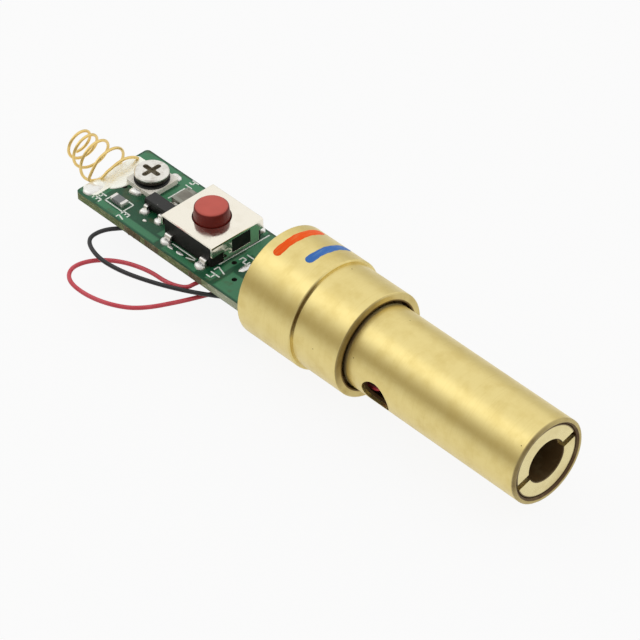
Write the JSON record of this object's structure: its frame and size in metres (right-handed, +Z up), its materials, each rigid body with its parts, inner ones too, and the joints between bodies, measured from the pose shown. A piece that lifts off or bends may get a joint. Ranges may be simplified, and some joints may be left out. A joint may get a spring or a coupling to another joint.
{
  "type": "laser diode module",
  "caption": "Pen-type laser module: stepped brass sleeve with a focusing nose, and a driver board behind it with push switch, trimmer and battery spring.",
  "frame": {"origin": "on the optical axis, in the plane of the collar's front face", "axes": "+X along the beam and out of the nose, +Z up through the push button, +Y to the left"},
  "size_m": [0.0592, 0.017, 0.0106],
  "materials": {
    "brass": "turned, pale and satin",
    "steel": "stamped",
    "cover_steel": "bright rolled sheet",
    "lead_gold": "gold plated",
    "tinned": "tin plated",
    "solder": "bright, lumpy",
    "laser_crystal": "cleaved",
    "window_glass": "polished",
    "lens": "moulded, polished",
    "board": "green solder mask",
    "spring_gold": "gold plated wire",
    "trimmer_ceramic": "unglazed",
    "carbon": "carbon film",
    "chip_case": "moulded epoxy",
    "capacitor_ceramic": "fired",
    "switch_black": "moulded",
    "button_red": "moulded, satin",
    "wire_red": "soft jacket",
    "wire_black": "soft jacket"
  },
  "bodies": {
    "module": {"barrel": "brass", "battery_spring": "spring_gold", "black_solder": "solder", "black_wire": "wire_black", "chip_capacitor": "capacitor_ceramic", "chip_capacitor_cap_far": "tinned", "chip_capacitor_cap_near": "tinned", "chip_resistor": "chip_case", "chip_resistor_cap_front": "tinned", "chip_resistor_cap_rear": "tinned", "circuit_board": "board", "collar": "brass", "diode_cap": "steel", "diode_holder": "brass", "diode_lead_case": "lead_gold", "diode_lead_negative": "lead_gold", "diode_lead_positive": "lead_gold", "diode_stem": "steel", "diode_window": "window_glass", "driver_chip": "chip_case", "driver_chip_lead_1": "tinned", "driver_chip_lead_2": "tinned", "driver_chip_lead_3": "tinned", "focus_spring": "steel", "laser_chip": "laser_crystal", "red_solder": "solder", "red_wire": "wire_red", "spring_solder": "solder", "switch_base": "switch_black", "switch_cover": "cover_steel", "switch_dome": "steel", "switch_terminal_far_front": "tinned", "switch_terminal_far_rear": "tinned", "switch_terminal_near_front": "tinned", "switch_terminal_near_rear": "tinned", "trimmer_base": "trimmer_ceramic", "trimmer_terminal_end": "tinned", "trimmer_terminal_start": "tinned", "trimmer_terminal_wiper": "tinned", "trimmer_track": "carbon"},
    "button": {"switch_button": "button_red"},
    "rotor": {"trimmer_rotor": "steel"},
    "lens": {"collimating_lens": "lens"},
    "nozzle": {"lens_nozzle": "brass"}
  },
  "joints": [
    {"name": "button_press", "type": "slide", "parent": "module", "child": "button", "axis": [0, 0, -1], "range_m": [0, 0.00025], "stiffness_N_per_m": 4000, "deforming": ["switch_dome"]},
    {"name": "trimmer_turn", "type": "hinge", "parent": "module", "child": "rotor", "pos_m": [-0.0302, 0.00135, 0], "axis": [0, 0, 1], "range_deg": [-120, 120]},
    {"name": "focus_travel", "type": "slide", "parent": "module", "child": "lens", "axis": [1, 0, 0], "range_m": [-0.001, 0.0005], "deforming": ["focus_spring"]},
    {"name": "nozzle_turn", "type": "hinge", "parent": "lens", "child": "nozzle", "pos_m": [0.0165, 0, 0], "axis": [1, 0, 0], "range_deg": [-720, 360]}
  ],
  "couplings": [
    {"joint": "nozzle_turn", "follows": "focus_travel", "rad_per_m": 12566}
  ]
}
